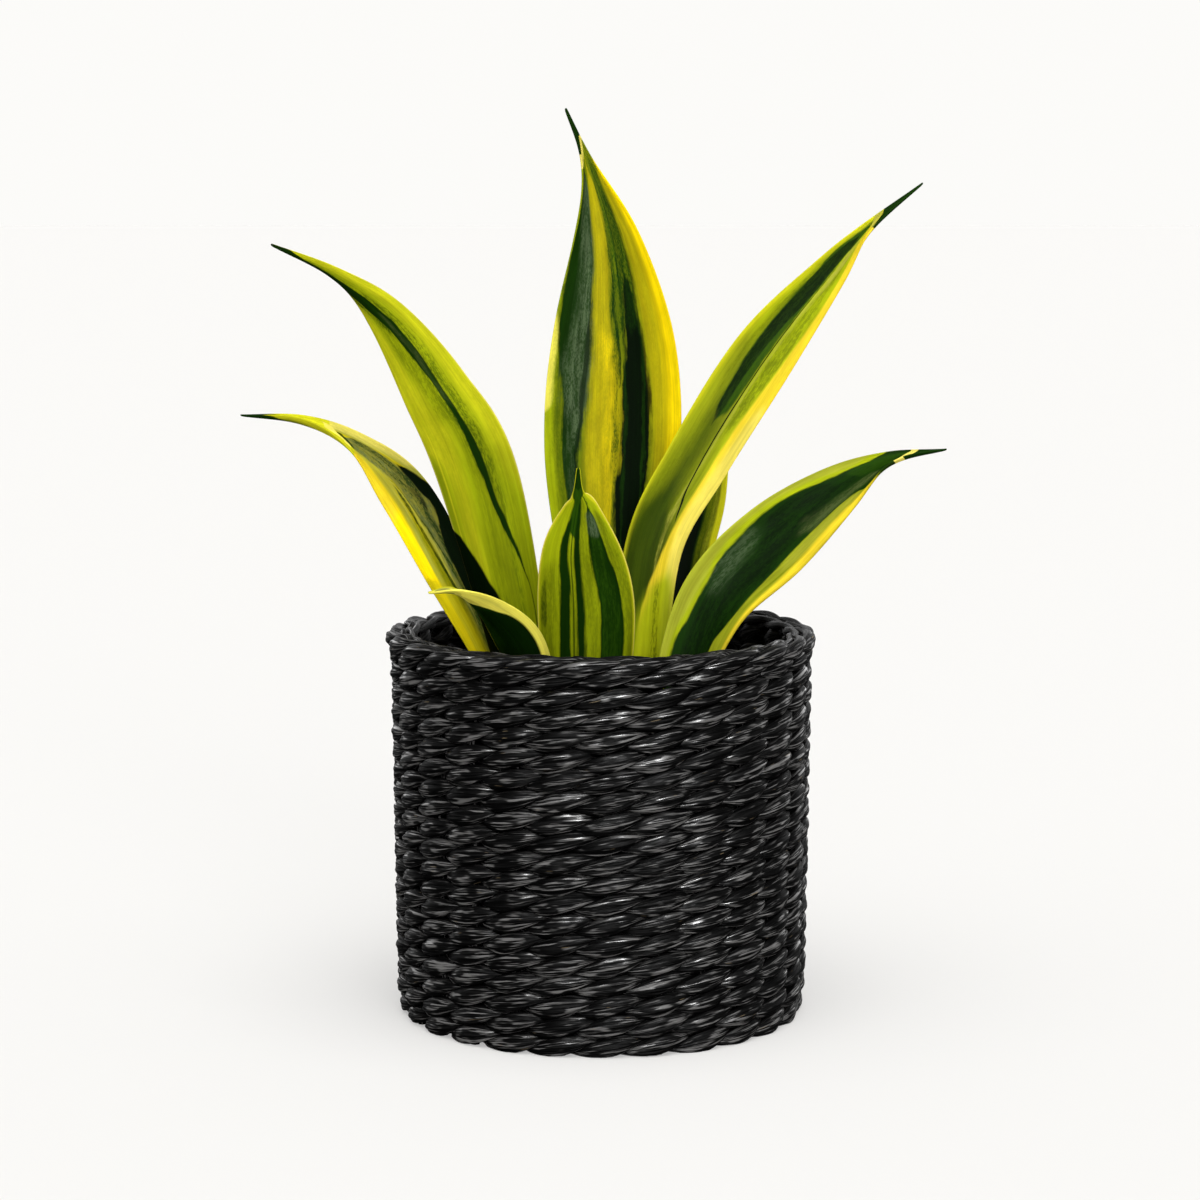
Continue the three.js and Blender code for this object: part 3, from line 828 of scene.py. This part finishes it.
def makeFibreGroup():
    # dyed straw: dark bundles with glossy fibres in places, lightened there as a painted highlight, a very
    # few left undyed, and painted shade at a weaver's edges
    group, given, result = newGroup("strawFibres", {"Float": "Lengthwise Openness", "Vector": "Around"},
                                    {"Color": "Colour", "Float": "Gloss Height"})
    parts = splitXYZ(given["Around"])

    def fibreNoise(around, along, detail=1):
        vector = joinXYZ(times(parts[0], around), times(parts[1], around),
                         times(given["Lengthwise"], along))
        return noise(vector, 1, detail)

    bundle = fibreNoise(2.4, 0.7)
    fibre = fibreNoise(4.6, 1.2)
    fine = fibreNoise(8, 2.2)
    zone = fibreNoise(1.9, 2.2)
    undyed = fibreNoise(7, 3, 0)
    strands = calc("ADD", times(fibre, 0.55), times(fine, 0.45))
    glossAndPaintedGlint = times(remap(zone, 0.45, 0.58), remap(strands, 0.48, 0.56))
    dark = mixColours(remap(strands, 0.44, 0.6), strawLook["black"], strawLook["grey"])
    # painted highlight: the glossy fibres are also lightened in colour, standing in for their glints
    paintedGlint = mixColours(glossAndPaintedGlint, dark, strawLook["paintedGlint"])
    pale = mixColours(remap(undyed, 0.84, 0.87), paintedGlint, strawLook["undyed"])
    # painted shade: towards a weaver's edges its colour goes to black
    feed(result["Colour"], mixColours(given["Openness"], strawLook["paintedEdgeShade"], pale))
    gloss = remap(times(glossAndPaintedGlint, given["Openness"]), 0, 1, strawLook["leastGloss"], 1, "LINEAR")
    feed(result["Gloss"], gloss)
    height = timesPlus(fine, 0.4, fibre)
    feed(result["Height"], timesPlus(bundle, 1.2, height))
    return group


def weaverMaterial(fibreGroup):
    material, tree = newMaterial("blackStraw", Roughness=0.55, Specular_IOR_Level=0.06, Coat_Roughness=0.28)
    uv = uvPlace(tree)
    lengthwise = times(uv[0], basket["stakes"])
    around = timesPlus(uv[1], 2 * math.pi, times(lengthwise, 0.5))
    ring = joinXYZ(calc("COSINE", around), calc("SINE", around), 0)
    # painted shade: a weaver's edges lie in the shade of its neighbours, so there its colour darkens and its
    # gloss fades
    outward = times(calc("COSINE", times(uv[1], 2 * math.pi)), -1.0)
    fibres = useGroup(tree, fibreGroup, {"Lengthwise": lengthwise, "Around": ring,
                                         "Openness": remap(outward, -0.1, 0.75, 0.1, 1)})
    return dressShader(material, {"Base Color": fibres["Colour"], "Coat Weight": fibres["Gloss"]},
                       fibres["Height"], strawLook["bump"])


def stakeMaterial(fibreGroup):
    # the same straw, run upright on the stakes
    material, tree = newMaterial("stakeStraw", Roughness=0.55, Specular_IOR_Level=0.08, Coat_Roughness=0.36)
    place = splitXYZ(objectPlace(tree))
    x, y, z = (times(place[axis], scale) for axis, scale in enumerate(strawLook["stakeScale"]))
    fibres = useGroup(tree, fibreGroup, {"Lengthwise": z, "Around": joinXYZ(x, y, 0), "Openness": 1})
    return dressShader(material, {"Base Color": fibres["Colour"], "Coat Weight": fibres["Gloss"]},
                       fibres["Height"], strawLook["stakeBump"])


print("basket")
fibreGroup = makeFibreGroup()
straw = weaverMaterial(fibreGroup)
basketChance = random.Random(basket["seed"])
twineWall(basketChance, straw)
twineRim(basketChance, straw)
twineBase(basketChance, straw)
stakeStraw = stakeMaterial(fibreGroup)
for stakeNumber in range(basket["stakes"]):
    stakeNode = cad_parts[f"stake_{stakeNumber + 1:02d}"]
    for materialSlot in stakeNode.material_slots:
        materialSlot.material = stakeStraw


# Nursery pot and potting mix

pot = {
    "foot": 4.5,
    "height": 137,
    "footRadius": 56,
    "mouthRadius": 73,
    "lip": 1.5,
    "lipHeight": 7,
    "wall": 1.6,
    "footBend": 2,
    "floorBend": 1,
    "lipBend": 0.5,
    "holes": 6,
    "holeRadius": 4,
    "holeCircle": 40,
    "drillDepth": 8,
    "drillMiddle": 1,  # above the foot
    "drillSteps": 24,
    "turnSteps": 96,
    "sharpAngle": 40,
    "bump": (0.2, 0.0003),
}


def turnProfile(name, corners, steps):
    # a disc drawn up along the outline, ring by ring
    radius, height = corners[0]
    bpy.ops.mesh.primitive_circle_add(vertices=steps, radius=radius * mm, fill_type="NGON",
                                      location=(0, 0, height * mm))
    obj = bpy.context.object
    obj.name = name
    bpy.ops.object.transform_apply(location=True)
    bpy.ops.object.mode_set(mode="EDIT")
    bpy.ops.mesh.select_all(action="SELECT")
    for nextRadius, nextHeight in corners[1:]:
        bpy.ops.mesh.extrude_region_move(TRANSFORM_OT_translate={"value": (0, 0, (nextHeight - height) * mm)})
        share = nextRadius / radius
        bpy.ops.transform.resize(value=(share, share, 1), center_override=(0, 0, nextHeight * mm))
        radius, height = nextRadius, nextHeight
    bpy.ops.object.mode_set(mode="OBJECT")
    faceOutwards(obj)
    return obj


def mouldPot(material):
    foot = pot["foot"]
    top = foot + pot["height"]
    lipBottom = top - pot["lipHeight"]
    floor = foot + pot["wall"]
    inside = pot["footRadius"] - pot["wall"]
    mouth = pot["mouthRadius"]
    lip = mouth + pot["lip"]
    bend = pot["lipBend"]
    corners = [
        (pot["footRadius"] - pot["footBend"], foot), (pot["footRadius"], foot + pot["footBend"]),
        (mouth - pot["lip"], lipBottom), (lip - bend, lipBottom), (lip, lipBottom + bend),
        (lip, top - bend), (lip - bend, top), (mouth + bend, top), (mouth, top - bend),
        (mouth - pot["wall"], lipBottom), (inside, floor + pot["floorBend"]),
        (inside - pot["floorBend"], floor),
    ]
    body = turnProfile("nursery_pot_moulded", corners, pot["turnSteps"])
    for number in range(pot["holes"]):
        bearing = number * 2 * math.pi / pot["holes"]
        place = Vector((math.cos(bearing) * pot["holeCircle"], math.sin(bearing) * pot["holeCircle"],
                        foot + pot["drillMiddle"]))
        bpy.ops.mesh.primitive_cylinder_add(vertices=pot["drillSteps"], radius=pot["holeRadius"] * mm,
                                            depth=pot["drillDepth"] * mm, location=place * mm)
        drill = bpy.context.object
        applyModifier(body, "BOOLEAN", object=drill, operation="DIFFERENCE", solver="EXACT")
        bpy.data.objects.remove(drill)
    finishPiece(body, "nursery_pot_moulded", material, ["nursery_pot"])
    selectOnly(body)
    bpy.ops.object.shade_smooth_by_angle(angle=math.radians(pot["sharpAngle"]))
    body.select_set(False)


def plasticMaterial():
    material, tree = newMaterial("potPlastic", Specular_IOR_Level=0.25)
    here = objectPlace(tree)
    scuffs = noise(here, 60, 4, 0.7)
    tint = mixColours(remap(scuffs, 0.4, 0.75), colour(10, 10, 11), colour(30, 30, 29))
    rough = remap(scuffs, 0.3, 0.7, 0.5, 0.7)
    grain = noise(here, 900, 3)
    return dressShader(material, {"Base Color": tint, "Roughness": rough}, grain, pot["bump"])


soil = {
    "bottom": 6.4,
    "edgeHeight": 131.5,
    "crownHeight": 136,
    "crownShare": 0.65,  # of the way in, where the crown is reached
    "footRadius": 53.8,
    "edgeRadius": 69.2,
    "middleRadius": 0.6,
    "waves": (40, 90, 180, 320),
    "waveHeight": 0.6,
    "sink": 0.6,
    "edgeFade": 20,
    "crumbs": 900,
    "crumbRadius": (1.5, 3.6),
    "crumbHeight": (0.3, 0.6),  # of its radius
    "rings": 60,
    "steps": 240,
    "seed": 7,
    "bump": (1.0, 0.002),
}


def fillPot(material):
    # a mound of potting mix with an uneven, crumbly top
    edge = soil["edgeRadius"]
    corners = [(soil["footRadius"], soil["bottom"]), (edge, soil["edgeHeight"])]
    for ring in range(1, soil["rings"] + 1):
        share = 1 - ring / soil["rings"]
        height = between(soil["edgeHeight"], soil["crownHeight"], min(1, (1 - share) / soil["crownShare"]))
        corners.append((max(edge * share, soil["middleRadius"]), height))
    mound = turnProfile("potting_mix", corners, soil["steps"])
    chance = random.Random(soil["seed"])
    places = verticesOf(mound) / mm
    away = np.hypot(places[:, 0], places[:, 1]) / edge
    rise = np.zeros(len(places))
    for wave in soil["waves"]:
        bearing = chance.uniform(0, 2 * math.pi)
        ahead = (places[:, 0] * math.cos(bearing) + places[:, 1] * math.sin(bearing)) * wave * mm
        rise += soil["waveHeight"] * np.sin(ahead + chance.uniform(0, 6)) * soil["waves"][0] / wave
    crumbs = np.zeros(len(places))
    for _ in range(soil["crumbs"]):
        bearing = chance.uniform(0, 2 * math.pi)
        reach = edge * math.sqrt(chance.random())
        radius = chance.uniform(*soil["crumbRadius"])
        height = radius * chance.uniform(*soil["crumbHeight"])
        apart = np.hypot(places[:, 0] - reach * math.cos(bearing), places[:, 1] - reach * math.sin(bearing))
        crumbs = np.maximum(crumbs, height * np.sqrt(np.clip(1 - (apart / radius) ** 2, 0, 1)))
    # only the top is uneven, and less so at its edge
    share = np.clip((1 - away) * soil["edgeFade"], 0, 1) * (places[:, 2] > soil["edgeHeight"] - 0.01)
    places[:, 2] += (rise + crumbs - soil["sink"]) * share
    moveVertices(mound, places * mm)
    finishPiece(mound, "potting_mix", material, ["soil"])


def soilMaterial():
    material, tree = newMaterial("pottingMix", Roughness=0.92, Specular_IOR_Level=0.12)
    here = objectPlace(tree)
    warped = addNode(tree, "TexNoise", {"Vector": here, "Scale": 300}).outputs["Color"]
    bent = mixColours(0.006, here, warped, "ADD")
    crumbs = addNode(tree, "TexVoronoi", {"Vector": bent, "Scale": 300}).outputs
    grit = addNode(tree, "TexVoronoi", {"Vector": bent, "Scale": 900}).outputs
    damp = noise(here, 60, 4, 0.65)
    shade = mixColours(remap(damp, 0.3, 0.7), colour(22, 16, 12), colour(56, 43, 32))
    mixed = mixColours(remap(crumbs["Color"], 0.3, 0.9), shade, colour(74, 56, 40))
    bark = mixColours(remap(crumbs["Color"], 0.9, 0.94), mixed, colour(112, 84, 56))
    # painted shade: the mix goes near black in the hollows between crumbs, where shade falls
    paintedGapShade = times(remap(crumbs["Distance"], 0.35, 0.75, 1, 0.35), remap(grit["Distance"], 0.3, 0.8, 1, 0.5))
    height = times(timesPlus(grit["Distance"], 0.35, crumbs["Distance"]), -1.0)
    tint = mixColours(paintedGapShade, colour(6, 4, 3), bark)
    return dressShader(material, {"Base Color": tint}, height, soil["bump"])


print("pot and potting mix")
mouldPot(plasticMaterial())
fillPot(soilMaterial())


# Floor, light and camera

studio = {
    "floorRadius": 60,
    "floorSides": 96,
    "floorTint": (0.42, 0.4137, 0.4011, 1),
    "floorInGloss": (0.06, 0.06, 0.06, 1),
    "floorGlow": 0.392,
    "glowTint": (1, 0.995, 0.985, 1),
    "sky": 0.5,
    "skyTint": (1, 1, 1, 1),
    "seenTint": (0.973, 0.966, 0.945, 1),
    "backdrop": 2.2,  # what gloss mirrors from behind
    "room": 0.02,  # and from in front
    "mirrorFade": (0.1, 0.7),  # from the one to the other, by how far a ray looks to the back
    "lampDistance": 2,
}
# strength, bearing from the front, where the camera stands, to the right, height and spread in degrees,
# and whether only gloss shows the lamp, or all but gloss
lamps = {
    "key": (1.75, 30, 74, 50, False),
    "fill": (0.75, -50, 68, 60, False),
    "face": (1.4, 12, 16, 40, False),
    "gleam": (5, 20, 30, 14, True),
    "sideGleam": (3, -18, 36, 14, True),
}
view = {
    "place": (-0.0004, -1.25, 0.333),
    "pitch": 7.345,
    "lens": 91.08,
    "sensor": 36,
    "reach": 200,
}


def makeFloor():
    bpy.ops.mesh.primitive_circle_add(vertices=studio["floorSides"], radius=studio["floorRadius"],
                                      fill_type="NGON")
    floor = bpy.context.object
    floor.name = "floor"
    material, tree = newMaterial("paleFloor", Roughness=1, Specular_IOR_Level=0,
                                 Emission_Color=studio["glowTint"])
    rays = addNode(tree, "LightPath").outputs
    tint = mixColours(rays["Is Glossy Ray"], studio["floorTint"], studio["floorInGloss"])
    glow = times(rays["Is Camera Ray"], studio["floorGlow"])
    floor.data.materials.append(dressShader(material, {"Base Color": tint, "Emission Strength": glow}))


def makeSky():
    # the camera sees an even backdrop, gloss mirrors it only from behind, and the rest is soft light
    world = bpy.data.worlds.new("studioSky")
    world.use_nodes = True
    world.cycles.sampling_method = "NONE"
    tree = world.node_tree
    tree.nodes.clear()
    back = splitXYZ(addNode(tree, "TexCoord").outputs["Generated"])[1]
    mirrored = remap(back, *studio["mirrorFade"], studio["room"], studio["backdrop"])
    rays = addNode(tree, "LightPath").outputs
    sky = studio["sky"]
    strength = timesPlus(rays["Is Glossy Ray"], calc("SUBTRACT", mirrored, sky), sky)
    seen = addNode(tree, "Background", {"Color": studio["seenTint"]}).outputs[0]
    light = addNode(tree, "Background", {"Color": studio["skyTint"], "Strength": strength}).outputs[0]
    mixed = addNode(tree, "MixShader", {0: rays["Is Camera Ray"], 1: light, 2: seen}).outputs[0]
    addNode(tree, "OutputWorld", {"Surface": mixed})
    bpy.context.scene.world = world


def addSun(name, strength, bearing, height, spread, inGloss):
    data = bpy.data.lights.new(name, "SUN")
    data.energy = strength
    data.angle = math.radians(spread)
    lamp = bpy.data.objects.new(name, data)
    bearing = math.radians(bearing)
    height = math.radians(height)
    toLamp = Vector((math.sin(bearing) * math.cos(height), -math.cos(bearing) * math.cos(height),
                     math.sin(height)))
    lamp.rotation_euler = toLamp.to_track_quat("Z", "Y").to_euler()
    lamp.location = toLamp * studio["lampDistance"]
    lamp.visible_diffuse = not inGloss
    lamp.visible_glossy = inGloss
    bpy.context.scene.collection.objects.link(lamp)


def makeCamera():
    data = bpy.data.cameras.new("camera")
    data.lens = view["lens"]
    data.sensor_width = view["sensor"]
    data.clip_end = view["reach"]
    camera = bpy.data.objects.new("camera", data)
    camera.location = view["place"]
    camera.rotation_euler = (math.radians(90 - view["pitch"]), 0, 0)
    bpy.context.scene.collection.objects.link(camera)
    bpy.context.scene.camera = camera


print("floor, light and camera")
makeFloor()
makeSky()
for lampName, lampValues in lamps.items():
    addSun(lampName, *lampValues)
makeCamera()
bpy.context.scene.view_settings.view_transform = "Standard"
